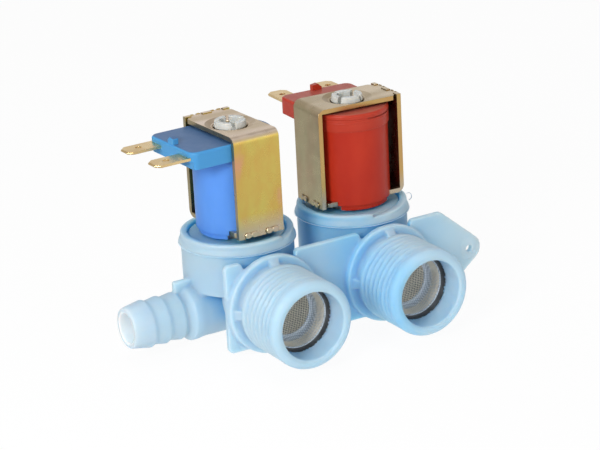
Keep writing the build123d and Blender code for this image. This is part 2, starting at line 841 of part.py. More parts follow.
    # Spade terminals
    for number, offset_y in (("a", blade_pitch / 2), ("b", -blade_pitch / 2)):
        with BuildPart() as blade:
            with BuildSketch(turned.offset(blade_z - blade_t / 2)):
                with Locations((-(blade_tip + blade_root) / 2, offset_y)):
                    Rectangle(blade_tip - blade_root, blade_w)
                chamfer(vertices().group_by(Axis.X)[0], blade_nose)
                with Locations((-blade_tip + blade_hole_back, offset_y)):
                    Circle(blade_hole_r, mode=Mode.SUBTRACT)
            extrude(amount=blade_t)
            tip_faces = faces().sort_by(Axis(turned.origin, turned.x_dir))[0:3]
            tip_edges = tip_faces.edges().filter_by(
                lambda e: abs((e % 0.5).Z) < 0.01
            )
            chamfer(tip_edges, blade_edge)
        save(blade.part, f"{side}_terminal_{number}")

    # Yoke brackets: the lower one is the upper one turned over
    middle = Plane(
        origin=turned.origin + Vector(0, 0, yoke_mid), x_dir=turned.x_dir, z_dir=(0, 0, 1)
    )
    flipped = Plane(origin=middle.origin, x_dir=middle.x_dir, z_dir=(0, 0, -1))
    save(bracket(middle), f"{side}_yoke_upper")
    save(bracket(flipped), f"{side}_yoke_lower")
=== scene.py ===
# %% [markdown]
# # A two-way water inlet valve
#
# The valve's solids, their places and the way they move come from the imported frame, so nothing
# here is measured again. This lesson gives the plastic, the plated steel and the brass their
# It also makes what is too fine for the solids: the hose threads, the soft edges of the
# moulding and the woven wire of the two screens. The frame comes first, and its box is kept
# for the floor.

import math

import bmesh
import bpy
from mathutils import Matrix, Vector, noise


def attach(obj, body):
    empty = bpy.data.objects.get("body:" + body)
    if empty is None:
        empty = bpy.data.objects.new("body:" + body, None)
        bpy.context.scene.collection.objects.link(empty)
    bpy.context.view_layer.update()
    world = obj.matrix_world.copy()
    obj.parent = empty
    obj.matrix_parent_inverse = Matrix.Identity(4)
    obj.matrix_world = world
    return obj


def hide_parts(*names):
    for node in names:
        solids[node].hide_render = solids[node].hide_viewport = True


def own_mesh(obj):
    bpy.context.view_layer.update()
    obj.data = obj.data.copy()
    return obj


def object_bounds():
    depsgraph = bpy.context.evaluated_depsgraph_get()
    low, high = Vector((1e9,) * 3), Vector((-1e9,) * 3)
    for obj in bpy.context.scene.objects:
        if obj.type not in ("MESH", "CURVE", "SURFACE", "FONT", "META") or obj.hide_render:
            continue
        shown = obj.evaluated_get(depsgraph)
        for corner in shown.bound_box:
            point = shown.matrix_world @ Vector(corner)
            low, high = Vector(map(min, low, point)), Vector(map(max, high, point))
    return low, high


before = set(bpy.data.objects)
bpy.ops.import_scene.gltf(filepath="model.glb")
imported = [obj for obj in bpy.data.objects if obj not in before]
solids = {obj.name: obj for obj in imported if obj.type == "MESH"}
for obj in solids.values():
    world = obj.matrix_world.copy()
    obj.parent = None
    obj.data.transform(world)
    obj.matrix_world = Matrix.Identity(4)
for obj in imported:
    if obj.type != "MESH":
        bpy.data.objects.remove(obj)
cad_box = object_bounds()
MM = 0.001
SIDES = {"cold": -20.425, "hot": 20.425}
CHAMBER_BACK = 19.0
print("solids in the frame:", len(solids))

# %% [markdown]
# ## Camera
#
# The photographer stood well back with a long lens, a little to the barb's side and above. The
# camera could be placed by eye, but a fit of the solids' edges to the photograph gives its
# place, and then every part lines up. The photograph is rolled by three degrees, so the camera is
# turned about its own line of sight as well.

# %% Camera
SIGHT_AZIMUTH = math.radians(-30.02)
SIGHT_ELEVATION = math.radians(19.687)
SIGHT_ROLL = math.radians(3.043)
CAMERA_PLACE = Vector((-314.38, -527.82, 239.92)) * MM

backward = Vector((
    math.sin(SIGHT_AZIMUTH) * math.cos(SIGHT_ELEVATION),
    -math.cos(SIGHT_AZIMUTH) * math.cos(SIGHT_ELEVATION),
    math.sin(SIGHT_ELEVATION),
))
level_right = (-backward).cross(Vector((0, 0, 1))).normalized()
level_up = backward.cross(level_right)
right = level_right * math.cos(SIGHT_ROLL) - level_up * math.sin(SIGHT_ROLL)
up = level_up * math.cos(SIGHT_ROLL) + level_right * math.sin(SIGHT_ROLL)

camera_data = bpy.data.cameras.new("photo_camera")
camera_data.sensor_width = 36
camera_data.lens = 131.44
camera_data.clip_start = 0.05
camera = bpy.data.objects.new("photo_camera", camera_data)
turn = Matrix((right, up, backward)).transposed().to_4x4()
camera.matrix_world = Matrix.Translation(CAMERA_PLACE) @ turn
bpy.context.scene.collection.objects.link(camera)
bpy.context.scene.camera = camera
bpy.context.scene.view_settings.view_transform = "Standard"
print("camera looks along", tuple(round(v, 3) for v in -backward))

# %% [markdown]
# ## Light and floor
#
# Small parts for a catalogue are shot in a white tent: a soft box on each side, one overhead, a
# weak one in front that reaches into the inlets, and white all round. The white round the valve
# is what the camera and the shiny metal see; the light that falls on the plastic is set on its
# own, so the tent can be pure white without washing out the colours. The table is a sheet of
# opal acrylic with a lamp below it, so the floor's matt surface is mixed with white: nearly all
# white for the camera, which keeps a faint shadow, and a share of it for what lights the valve's
# underside.

# %% Tent
TENT_FILL = 0.37
GLOSS_LEFT = 0.45
GLOSS_RIGHT = 0.92
GLOSS_OVERHEAD = 0.64


def ranged(tree, value, from_min, from_max, to_min, to_max):
    """A value moved from one range to another, and held at its ends."""
    span = tree.nodes.new("ShaderNodeMapRange")
    ends = {"From Min": from_min, "From Max": from_max, "To Min": to_min, "To Max": to_max}
    for name, number in ends.items():
        span.inputs[name].default_value = number
    tree.links.new(value, span.inputs["Value"])
    return span.outputs["Result"]


def maths(tree, operation, first, second):
    """One sum of two values, either of which may be a plain number."""
    node = tree.nodes.new("ShaderNodeMath")
    node.operation = operation
    for socket, value in zip(node.inputs, (first, second)):
        if isinstance(value, (int, float)):
            socket.default_value = value
        else:
            tree.links.new(value, socket)
    return node.outputs[0]


def blended(tree, factor, first, second):
    """A plain mix of two numbers by a factor."""
    node = tree.nodes.new("ShaderNodeMix")
    tree.links.new(factor, node.inputs["Factor"])
    for name, value in (("A", first), ("B", second)):
        if isinstance(value, (int, float)):
            node.inputs[name].default_value = value
        else:
            tree.links.new(value, node.inputs[name])
    return node.outputs["Result"]


world = bpy.data.worlds.new("tent")
bpy.context.scene.world = world
world.use_nodes = True
tree = world.node_tree
tent = tree.nodes["Background"]
rays = tree.nodes.new("ShaderNodeLightPath")
heading = tree.nodes.new("ShaderNodeTexCoord")
axes = tree.nodes.new("ShaderNodeSeparateXYZ")
tree.links.new(heading.outputs["Generated"], axes.inputs[0])
across = ranged(tree, axes.outputs["X"], -1, 1, GLOSS_LEFT, GLOSS_RIGHT)
overhead = ranged(tree, axes.outputs["Z"], 0.1, 0.9, 1, GLOSS_OVERHEAD)
gloss = maths(tree, "MULTIPLY", across, overhead)
seen = maths(tree, "MAXIMUM", rays.outputs["Is Camera Ray"], rays.outputs["Is Transmission Ray"])
level = blended(tree, seen, TENT_FILL, 1.0)
tree.links.new(blended(tree, rays.outputs["Is Glossy Ray"], level, gloss), tent.inputs["Strength"])
tent.inputs["Color"].default_value = (1, 1, 1, 1)
print("tent fill:", TENT_FILL, "and", GLOSS_LEFT, "to", GLOSS_RIGHT, "in reflections")

# %% Soft boxes
def soft_box(name, place, size, power, aim=(0, 10, 10)):
    """A square lamp in millimetres from the origin, aimed at a point near the valve."""
    data = bpy.data.lights.new(name, "AREA")
    data.shape = "SQUARE"
    data.size = size * MM
    data.energy = power
    lamp = bpy.data.objects.new(name, data)
    lamp.location = Vector(place) * MM
    away = (Vector(place) - Vector(aim)).normalized()
    lamp.rotation_euler = away.to_track_quat("Z", "Y").to_euler()
    bpy.context.scene.collection.objects.link(lamp)
    return lamp


soft_box("left_box", (-420, -250, 250), size=150, power=1.9)
soft_box("right_box", (560, -640, 260), size=420, power=0.35)
soft_box("top_box", (-60, 90, 900), size=520, power=2.2)
soft_box("front_box", (-60, -720, 60), size=240, power=0.6)

# %% Floor
FLOOR_HALF = 3.0
FLOOR_SEEN = 0.94
FLOOR_GLOSS = 0.85
FLOOR_GLOW = 0.8
FLOOR_GAP = 0.2
FLOOR_BLEND = (-0.25, 0.2)

floor_mesh = bpy.data.meshes.new("floor")
floor_z = cad_box[0].z - FLOOR_GAP * MM
corners = [(-1, -1), (1, -1), (1, 1), (-1, 1)]
places = [(x * FLOOR_HALF, y * FLOOR_HALF, floor_z) for x, y in corners]
floor_mesh.from_pydata(places, [], [(0, 1, 2, 3)])
floor = bpy.data.objects.new("floor", floor_mesh)
bpy.context.scene.collection.objects.link(floor)
floor_finish = bpy.data.materials.new("floor_white")
floor_finish.use_nodes = True
tree = floor_finish.node_tree
matt = tree.nodes["Principled BSDF"]
matt.inputs["Base Color"].default_value = (0.92, 0.92, 0.92, 1)
matt.inputs["Roughness"].default_value = 0.9
white = tree.nodes.new("ShaderNodeEmission")
rays = tree.nodes.new("ShaderNodeLightPath")
place = tree.nodes.new("ShaderNodeTexCoord")
axes = tree.nodes.new("ShaderNodeSeparateXYZ")
tree.links.new(place.outputs["Object"], axes.inputs[0])
across = ranged(tree, axes.outputs["X"], *FLOOR_BLEND, GLOSS_LEFT, GLOSS_RIGHT)
strength = blended(tree, rays.outputs["Is Glossy Ray"], 1.0, across)
tree.links.new(strength, white.inputs["Strength"])
by_eye = maths(tree, "MULTIPLY", rays.outputs["Is Camera Ray"], FLOOR_SEEN)
by_gloss = maths(tree, "MULTIPLY", rays.outputs["Is Glossy Ray"], FLOOR_GLOSS)
by_light = maths(tree, "MULTIPLY", rays.outputs["Is Diffuse Ray"], FLOOR_GLOW)
white_share = maths(tree, "MAXIMUM", maths(tree, "MAXIMUM", by_eye, by_gloss), by_light)
blend = tree.nodes.new("ShaderNodeMixShader")
tree.links.new(white_share, blend.inputs[0])
tree.links.new(matt.outputs[0], blend.inputs[1])
tree.links.new(white.outputs[0], blend.inputs[2])
tree.links.new(blend.outputs[0], tree.nodes["Material Output"].inputs["Surface"])
floor_mesh.materials.append(floor_finish)
print("floor at", round(floor_z / MM, 2), "mm")

# %% [markdown]
# ## Finishes
#
# Each finish is a Principled shader fed by noise in object space. Image textures would need an
# unwrapped mesh; object space needs none, and because every solid sits at the origin of one
# frame, one scale in features per metre means the same size on all of them. A Bevel node rounds
# the shading at sharp corners, so that edges catch the light as a real moulded or sheared edge
# does.

# %% Helpers for colour
def new_finish(name, roughness, metallic=0.0):
    """A material with its Principled shader."""
    finish = bpy.data.materials.new(name)
    finish.use_nodes = True
    shader = finish.node_tree.nodes["Principled BSDF"]
    shader.inputs["Roughness"].default_value = roughness
    shader.inputs["Metallic"].default_value = metallic
    return finish, finish.node_tree, shader


def speckle(tree, per_metre, detail=3.0, stretch=(1, 1, 1)):
    """Noise in object space; stretch above 1 packs it tighter along an axis."""
    place = tree.nodes.new("ShaderNodeTexCoord")
    mapping = tree.nodes.new("ShaderNodeMapping")
    mapping.inputs["Scale"].default_value = stretch
    pattern = tree.nodes.new("ShaderNodeTexNoise")
    pattern.inputs["Scale"].default_value = per_metre
    pattern.inputs["Detail"].default_value = detail
    tree.links.new(place.outputs["Object"], mapping.inputs["Vector"])
    tree.links.new(mapping.outputs["Vector"], pattern.inputs["Vector"])
    return pattern.outputs["Fac"]


def colour_steps(tree, factor, steps):
    """Colours at given places of a factor, blended between."""
    ramp = tree.nodes.new("ShaderNodeValToRGB")
    elements = ramp.color_ramp.elements
    while len(elements) < len(steps):
        elements.new(0.5)
    for element, (place, colour) in zip(elements, steps):
        element.position = place
        element.color = (*colour, 1)
    tree.links.new(factor, ramp.inputs["Fac"])
    return ramp.outputs["Color"]


def roughness_range(tree, shader, factor, low, high):
    """Roughness that follows a factor."""
    tree.links.new(ranged(tree, factor, 0.3, 0.7, low, high), shader.inputs["Roughness"])


def mixed(tree, factor, first, second):
    """A mix of two colours, each a socket or three plain numbers."""
    node = tree.nodes.new("ShaderNodeMix")
    node.data_type = "RGBA"
    tree.links.new(factor, node.inputs["Factor"])
    for socket, colour in ((node.inputs[6], first), (node.inputs[7], second)):
        if isinstance(colour, tuple):
            socket.default_value = (*colour, 1)
        else:
            tree.links.new(colour, socket)
    return node.outputs[2]


print("colour helpers ready")

# %% Helpers for places
def axis_of(tree, source, output, axis):
    """One axis of a point or direction."""
    node = tree.nodes.new(source)
    axes = tree.nodes.new("ShaderNodeSeparateXYZ")
    tree.links.new(node.outputs[output], axes.inputs[0])
    return axes.outputs[axis]


def distance_from(tree, centre, keep):
    """Distance from a line through a centre; keep holds 0 along the line and 1 across it."""
    place = tree.nodes.new("ShaderNodeTexCoord")
    flat = tree.nodes.new("ShaderNodeVectorMath")
    flat.operation = "MULTIPLY"
    flat.inputs[1].default_value = keep
    tree.links.new(place.outputs["Object"], flat.inputs[0])
    away = tree.nodes.new("ShaderNodeVectorMath")
    away.operation = "DISTANCE"
    away.inputs[1].default_value = centre
    tree.links.new(flat.outputs["Vector"], away.inputs[0])
    return away.outputs["Value"]


def openness(tree, reach_mm, low, high, own=True):
    """0 in a recess, of the piece alone or of the whole valve, and 1 where it is open."""
    shade = tree.nodes.new("ShaderNodeAmbientOcclusion")
    shade.samples = 8
    shade.only_local = own
    shade.inputs["Distance"].default_value = reach_mm * MM
    return ranged(tree, shade.outputs["AO"], low, high, 0, 1)


print("place helpers ready")

# %% Helper for relief
def relief(tree, shader, height, depth_mm, edge_mm=None):
    """Small bumps of a given depth, over corners rounded in the shading."""
    bump = tree.nodes.new("ShaderNodeBump")
    bump.inputs["Distance"].default_value = depth_mm * MM
    tree.links.new(height, bump.inputs["Height"])
    if edge_mm:
        rounded = tree.nodes.new("ShaderNodeBevel")
        rounded.samples = 4
        rounded.inputs["Radius"].default_value = edge_mm * MM
        tree.links.new(rounded.outputs["Normal"], bump.inputs["Normal"])
    tree.links.new(bump.outputs["Normal"], shader.inputs["Normal"])


print("relief helper ready")

# %% [markdown]
# ## Pale blue moulding
#
# The body is unfilled polypropylene. Light goes a few millimetres into it and comes out blue,
# which is why thin walls look chalky and deep corners turn a strong blue instead of grey.
# Subsurface scattering spreads the light; the strong blue of deep corners is painted shade: the
# colour turns a deeper blue where an Ambient Occlusion node finds much plastic near. Below the
# rims it measures the body alone, or the table would count as plastic; from the rims up it
# measures all that stands near, so shade cast by other parts is painted too. The gap between
# the inlets gets more of the same painted shade. The barb's nose and the thin lug are painted
# paler along X, painted light that stands in for light coming through their thin plastic, and
# the wall round the barb's bore is so thin that the bore glows, a glow painted into the colour.

# %% Body plastic
# The first colour is painted shade for recesses, the pale steps are the plastic's own colour, and
# the last three are painted light: on the barb's nose, on the lug and in the bore.
BODY_PAINTED_SHADE = (0.15, 0.47, 0.80)
BODY_PALE = [(0.3, (0.40, 0.56, 0.69)), (0.7, (0.44, 0.59, 0.71))]
NOSE_PAINTED_LIGHT = (0.50, 0.58, 0.66)
LUG_PAINTED_LIGHT = (0.54, 0.62, 0.67)
BORE_PAINTED_GLOW = (0.76, 0.84, 0.92)
RECESS_REACH = 16
SHADE_REACH = 34
SHADE_FROM = (0.004, 0.016)
NOSE_PALE = (-0.050, -0.0596)
LUG_PALE = (0.036, 0.050)
GAP_MIDDLE = 0.008
GAP_REACH = (0.002, 0.011)
GAP_BACK = (0.002, 0.006)
BORE_AXIS = Vector((0, CHAMBER_BACK * MM, -0.0047))
BORE_RADIUS = 0.0047
BORE_FADE = (-0.046, -0.052)


def painted_bore_glow(tree):
    """Where the glow is painted: 1 inside the barb's bore near its mouth, and 0 elsewhere."""
    away = distance_from(tree, BORE_AXIS, (0, 1, 1))
    inside = ranged(tree, away, BORE_RADIUS * 1.15, BORE_RADIUS * 1.02, 0, 1)
    along = axis_of(tree, "ShaderNodeTexCoord", "Object", "X")
    return maths(tree, "MULTIPLY", inside, ranged(tree, along, *BORE_FADE, 0, 1))


def painted_shade_between_inlets(tree, along):
    """Painted shade: up to a half where the plastic faces the gap between the inlets, and 0
    elsewhere.
    """
    beside = maths(tree, "ABSOLUTE", maths(tree, "SUBTRACT", along, GAP_MIDDLE), 0)
    depth = axis_of(tree, "ShaderNodeTexCoord", "Object", "Y")
    near = ranged(tree, beside, *GAP_REACH, 0.5, 0)
    return maths(tree, "MULTIPLY", near, ranged(tree, depth, *GAP_BACK, 1, 0))


def body_plastic():
    """Painted shade in deep blue where plastic stands near, pale where it is open, painted light on
    the nose, the lug and in the bore.
    """
    finish, tree, shader = new_finish("body_plastic", 0.42)
    clouds = speckle(tree, 70, 2.0, (1, 1, 0.6))
    pale = colour_steps(tree, clouds, BODY_PALE)
    own = openness(tree, RECESS_REACH, 0.08, 0.62)
    shared = openness(tree, SHADE_REACH, 0.15, 0.80, own=False)
    height = axis_of(tree, "ShaderNodeTexCoord", "Object", "Z")
    share = ranged(tree, height, *SHADE_FROM, 0, 1)
    # Painted shade: deep blue where plastic stands near.
    open_share = blended(tree, share, own, maths(tree, "MINIMUM", own, shared))
    colour = mixed(tree, open_share, BODY_PAINTED_SHADE, pale)
    along = axis_of(tree, "ShaderNodeTexCoord", "Object", "X")
    colour = mixed(tree, painted_shade_between_inlets(tree, along), colour, BODY_PAINTED_SHADE)
    # Painted light: paler towards the lug and the barb's nose, standing in for light coming through
    # thin plastic.
    colour = mixed(tree, ranged(tree, along, *LUG_PALE, 0, 0.6), colour, LUG_PAINTED_LIGHT)
    colour = mixed(tree, ranged(tree, along, *NOSE_PALE, 0, 0.85), colour, NOSE_PAINTED_LIGHT)
    # Painted glow inside the bore near its mouth.
    colour = mixed(tree, painted_bore_glow(tree), colour, BORE_PAINTED_GLOW)
    tree.links.new(colour, shader.inputs["Base Color"])
    shader.inputs["Specular IOR Level"].default_value = 0.35
    shader.inputs["Subsurface Weight"].default_value = 1.0
    shader.inputs["Subsurface Radius"].default_value = (0.6, 0.85, 1.0)
    shader.inputs["Subsurface Scale"].default_value = 7.0 * MM
    shader.inputs["IOR"].default_value = 1.49
    roughness_range(tree, shader, clouds, 0.40, 0.52)
    relief(tree, shader, speckle(tree, 900, 3.0), 0.012)
    return finish


body_finish = body_plastic()
print("finish:", body_finish.name)

# %% [markdown]
# ## Coil covers
#
# The covers are glass-filled nylon, blue for cold and red for hot. They are denser than the
# body, with a satin skin that shows long soft reflections of the soft boxes, so they get a
# little scattering and a slightly uneven gloss.

# %% Cover plastic
HEAD_FROM = (0.0430, 0.0440)
HEAD_RADIUS = 0.0125
GROOVE_AT = 0.04725
SHUT_AT = 0.0462


def line_round(tree, height, place, inner, outer, rise):
    """A line at one height, with its full rise within the inner distance of it."""
    away = maths(tree, "ABSOLUTE", maths(tree, "SUBTRACT", height, place), 0)
    return ranged(tree, away, inner, outer, rise, 0)


def mould_lines(tree, x):
    """Two fine lines round a cover's head, as heights for the relief."""
    height = axis_of(tree, "ShaderNodeTexCoord", "Object", "Z")
    groove = line_round(tree, height, GROOVE_AT, inner=0.00012, outer=0.0003, rise=-14)
    shut = line_round(tree, height, SHUT_AT, inner=0.00005, outer=0.0002, rise=5)
    away = distance_from(tree, (x * MM, CHAMBER_BACK * MM, 0), (1, 1, 0))
    on_head = ranged(tree, away, HEAD_RADIUS + 0.0002, HEAD_RADIUS + 0.0003, 1, 0)
    return maths(tree, "MULTIPLY", maths(tree, "ADD", groove, shut), on_head)


def cover_plastic(name, x, sleeve_colours, head, top):
    """Satin plastic whose head has a colour of its own, and painted shade on its level faces."""
    finish, tree, shader = new_finish(name, 0.36)
    clouds = speckle(tree, 110, 3.0, (1, 1, 0.5))
    sleeve = colour_steps(tree, clouds, sleeve_colours)
    above = ranged(tree, axis_of(tree, "ShaderNodeTexCoord", "Object", "Z"), *HEAD_FROM, 0, 1)
    # Painted shade: level faces take a darker, greyer colour, standing in for the shade on the
    # tops.
    level = ranged(tree, axis_of(tree, "ShaderNodeNewGeometry", "Normal", "Z"), 0.8, 0.98, 0, 1)
    top_shaded = mixed(tree, level, mixed(tree, above, sleeve, head), top)
    tree.links.new(top_shaded, shader.inputs["Base Color"])
    shader.inputs["Specular IOR Level"].default_value = 0.22
    shader.inputs["Subsurface Weight"].default_value = 0.35
    shader.inputs["Subsurface Radius"].default_value = (0.9, 0.8, 1.0)
    shader.inputs["Subsurface Scale"].default_value = 0.8 * MM
    roughness_range(tree, shader, speckle(tree, 400, 2.0), 0.32, 0.42)
    grain = maths(tree, "ADD", speckle(tree, 1500, 2.0), mould_lines(tree, x))
    relief(tree, shader, grain, 0.008, 0.25)
    return finish


# Each cover's last colour is painted shade for its level faces.
BLUE_SLEEVE = [(0.3, (0.085, 0.26, 0.70)), (0.7, (0.11, 0.30, 0.76))]
BLUE_HEAD = (0.068, 0.30, 0.60)
BLUE_TOP_SHADE = (0.07, 0.15, 0.31)
RED_SLEEVE = [(0.3, (0.44, 0.022, 0.008)), (0.7, (0.50, 0.032, 0.010))]
RED_HEAD = (0.47, 0.040, 0.018)
RED_TOP_SHADE = (0.40, 0.085, 0.060)

cover_finish = {
    "cold": cover_plastic("cover_blue", SIDES["cold"], BLUE_SLEEVE, BLUE_HEAD, BLUE_TOP_SHADE),
    "hot": cover_plastic("cover_red", SIDES["hot"], RED_SLEEVE, RED_HEAD, RED_TOP_SHADE),
}
print("finishes:", [f.name for f in cover_finish.values()])

# %% [markdown]
# ## Plated steel
#
# The yokes are sheet steel with zinc and a yellow chromate film. The film is thinner than a
# wavelength in places, so its colour drifts from gold to pink and green. Thin-film optics could
# be simulated, but the drift is irregular, and a colour ramp over large soft noise is easier to
# steer. Fine grain along the sheet comes from the rolling mill. Faces across X get a painted
# olive reflection, level faces painted reflection in tan streaks, and corners near other parts
# painted dark brown shade. The shallow dish round the guide tube mirrors a darker part of the
# room than the flat sheet does, so faces that slope a little get painted shade, most of all
# those that face away from the barb.

# %% Chromate plate
PLATE_FOOT = (0.027, 0.021)
FOOT_GREY = (0.58, 0.50, 0.40)
# The olive steps are painted reflection for faces across X.
OLIVE_PAINTED_REFLECTION = [(0.35, (0.46, 0.33, 0.20)), (0.65, (0.48, 0.43, 0.25))]
DISH_SLOPE = (0.92, 0.999)
DISH_STEEPEST = (0.75, 0.88)
DISH_SIDE = (-0.15, 0.25)
DISH_BROWN = (0.30, 0.21, 0.11)
# Painted shade for corners near other parts.
CORNER_PAINTED_SHADE = (0.15, 0.085, 0.035)
CORNER_SHADE_REACH = 7


def in_dish(tree, level, by_x):
    """Above 0 on faces that slope a little, most on those that face away from the barb."""
    sloped = ranged(tree, level, *DISH_SLOPE, 1, 0)
    sloped = maths(tree, "MULTIPLY", sloped, ranged(tree, level, *DISH_STEEPEST, 0, 1))
    return maths(tree, "MULTIPLY", sloped, ranged(tree, by_x, *DISH_SIDE, 0.15, 0.85))


def chromate_plate(name, faces, top_reflection_steps):
    """Its own colours along Y; painted reflection in olive across X and in streaks on level faces;
    painted shade in the dish and in corners.
    """
    finish, tree, shader = new_finish(name, 0.3, 1.0)
    drift = speckle(tree, 95, 4.0, (1, 1, 0.5))
    gold = colour_steps(tree, drift, faces)
    foot = ranged(tree, axis_of(tree, "ShaderNodeTexCoord", "Object", "Z"), *PLATE_FOOT, 0, 0.8)
    gold = mixed(tree, foot, gold, FOOT_GREY)
    olive = colour_steps(tree, drift, OLIVE_PAINTED_REFLECTION)
    # Painted reflection: streaks of tan for the level faces.
    top_reflection = colour_steps(tree, speckle(tree, 26, 1.0, (1, 5, 1)), top_reflection_steps)
    by_x = axis_of(tree, "ShaderNodeNewGeometry", "Normal", "X")
    across = maths(tree, "ABSOLUTE", by_x, 0)
    level = maths(tree, "ABSOLUTE", axis_of(tree, "ShaderNodeNewGeometry", "Normal", "Z"), 0)
    # Painted reflection: faces across X turn olive.
    colour = mixed(tree, ranged(tree, across, 0.4, 0.9, 0, 1), gold, olive)
    colour = mixed(tree, ranged(tree, level, 0.3, 0.8, 0, 1), colour, top_reflection)
    colour = mixed(tree, in_dish(tree, level, by_x), colour, DISH_BROWN)
    # Painted shade: dark brown where other parts stand near.
    colour = mixed(tree, openness(tree, CORNER_SHADE_REACH, 0.1, 0.6, own=False), CORNER_PAINTED_SHADE, colour)
    tree.links.new(colour, shader.inputs["Base Color"])
    roughness_range(tree, shader, speckle(tree, 260, 4.0), 0.22, 0.40)
    relief(tree, shader, speckle(tree, 700, 4.0, (1, 1, 0.25)), 0.012, 0.18)
    return finish


GOLD = [
    (0.32, (0.76, 0.40, 0.22)),
    (0.42, (0.70, 0.47, 0.12)),
    (0.55, (0.70, 0.56, 0.14)),
    (0.68, (0.50, 0.47, 0.17)),
]
SHEARED = [(0.35, (0.58, 0.33, 0.13)), (0.65, (0.62, 0.43, 0.16))]
# The tan steps are painted reflection with streaks on the level faces, paler on the cold yoke and
# deeper on the hot one.
COLD_TOP_PAINTED_REFLECTION = [(0.38, (0.90, 0.74, 0.61)), (0.60, (0.66, 0.52, 0.35))]
HOT_TOP_PAINTED_REFLECTION = [(0.38, (0.78, 0.64, 0.46)), (0.60, (0.54, 0.43, 0.27))]

yoke_finish = {
    "cold": chromate_plate("chromate_gold", GOLD, COLD_TOP_PAINTED_REFLECTION),
    "hot": chromate_plate("chromate_sheared", SHEARED, HOT_TOP_PAINTED_REFLECTION),
}
print("finishes:", [f.name for f in yoke_finish.values()])

# %% [markdown]
# ## Brass, nylon, rubber and the rest
#
# The terminals are stamped brass. The guide tubes are natural nylon, slightly see-through at
# their prongs. What sits deep inside is hardly seen, yet it gets a finish of its own, because a
# buyer may open the valve.

# %% Small finishes
def metal(name, low, high, rough_low, rough_high, edge_mm=0.12):
    """Bare metal that drifts between two colours."""
    finish, tree, shader = new_finish(name, rough_low, 1.0)
    drift = speckle(tree, 200, 4.0)
    colour = colour_steps(tree, drift, [(0.35, low), (0.65, high)])
    tree.links.new(colour, shader.inputs["Base Color"])
    roughness_range(tree, shader, speckle(tree, 600, 3.0), rough_low, rough_high)
    relief(tree, shader, speckle(tree, 1400, 3.0), 0.006, edge_mm)
    return finish


def soft_plastic(name, low, high, roughness, scatter_mm, edge_mm=0.15):
    """Plastic or rubber, with light scattered in it where scatter_mm is given."""
    finish, tree, shader = new_finish(name, roughness)
    clouds = speckle(tree, 240, 2.0)
    colour = colour_steps(tree, clouds, [(0.3, low), (0.7, high)])
    tree.links.new(colour, shader.inputs["Base Color"])
    roughness_range(tree, shader, clouds, roughness - 0.05, roughness + 0.08)
    if scatter_mm:
        shader.inputs["Subsurface Weight"].default_value = 0.8
        shader.inputs["Subsurface Radius"].default_value = (1.0, 0.9, 0.8)
        shader.inputs["Subsurface Scale"].default_value = scatter_mm * MM
    relief(tree, shader, speckle(tree, 1100, 3.0), 0.008, edge_mm)
    return finish


def copper_wire():
    """Fine level turns of enamelled wire, as bands along the coil's axis."""
    finish, tree, shader = new_finish("copper_wire", 0.3, 1.0)
    place = tree.nodes.new("ShaderNodeTexCoord")
    turns = tree.nodes.new("ShaderNodeTexWave")
    turns.bands_direction = "Z"
    turns.inputs["Scale"].default_value = 900
    turns.inputs["Distortion"].default_value = 1.5
    tree.links.new(place.outputs["Object"], turns.inputs["Vector"])
    steps = [(0.1, (0.25, 0.08, 0.03)), (0.8, (0.62, 0.25, 0.10))]
    tree.links.new(colour_steps(tree, turns.outputs["Fac"], steps), shader.inputs["Base Color"])
    relief(tree, shader, turns.outputs["Fac"], 0.05)
    return finish


brass = metal("brass", (0.80, 0.57, 0.27), (0.92, 0.70, 0.37), 0.22, 0.36)
stainless = metal("stainless", (0.52, 0.51, 0.48), (0.62, 0.61, 0.58), 0.2, 0.35)
nylon = soft_plastic("nylon", (0.58, 0.59, 0.57), (0.66, 0.67, 0.64), 0.38, 1.2, edge_mm=0.4)
rubber = soft_plastic("rubber", (0.012, 0.012, 0.012), (0.025, 0.025, 0.024), 0.62, None)
copper = copper_wire()
print("small finishes:", [f.name for f in (brass, stainless, nylon, rubber, copper)])

# %% [markdown]
# ## Dressing the solids
#
# Most solids already have the real shape and only need their finish. Each one keeps its mesh;
# only the material in its slot changes. Its faces are shaded smooth up to thirty degrees by the
# normals that the frame brought along.

# %% Finishes on the solids
FINISH_OF = {
    "flow_washer": rubber,
    "diaphragm": rubber,
    "diaphragm_insert": nylon,
    "guide_tube": nylon,
    "plunger": stainless,
    "plunger_tip": rubber,
    "plunger_spring": stainless,
    "locking_ring": body_finish,
    "bobbin": nylon,
    "winding": copper,
    "terminal_a": brass,
    "terminal_b": brass,
}


def dress(solid, finish):
    """Puts one finish on the whole of a solid."""
    solid.data.materials.clear()
    solid.data.materials.append(finish)


for side in SIDES:
    for part, finish in FINISH_OF.items():
        dress(solids[f"{side}_{part}"], finish)
    dress(solids[f"{side}_coil_cover"], cover_finish[side])
    for yoke in ("upper", "lower"):
        dress(solids[f"{side}_yoke_{yoke}"], yoke_finish[side])
print("dressed:", 2 * (len(FINISH_OF) + 3), "solids")

# %% [markdown]
# ## The moulded body
#
# The solid has plain cylinders where the hose threads are, and knife-sharp corners everywhere. A
# real moulding has neither. Modelling the threads as cuts would need slow booleans, so each
# inlet gets a sleeve whose radius rises and falls along a helix. The body's own cylinder is
# drawn in under the sleeve, all of it is joined, and a voxel remesh fuses it into one skin. A few
# rounds of smoothing then soften every corner by about a third of a millimetre. Such a skin has
# as many faces on flat ground as in the threads, so a last step merges those that add nothing.

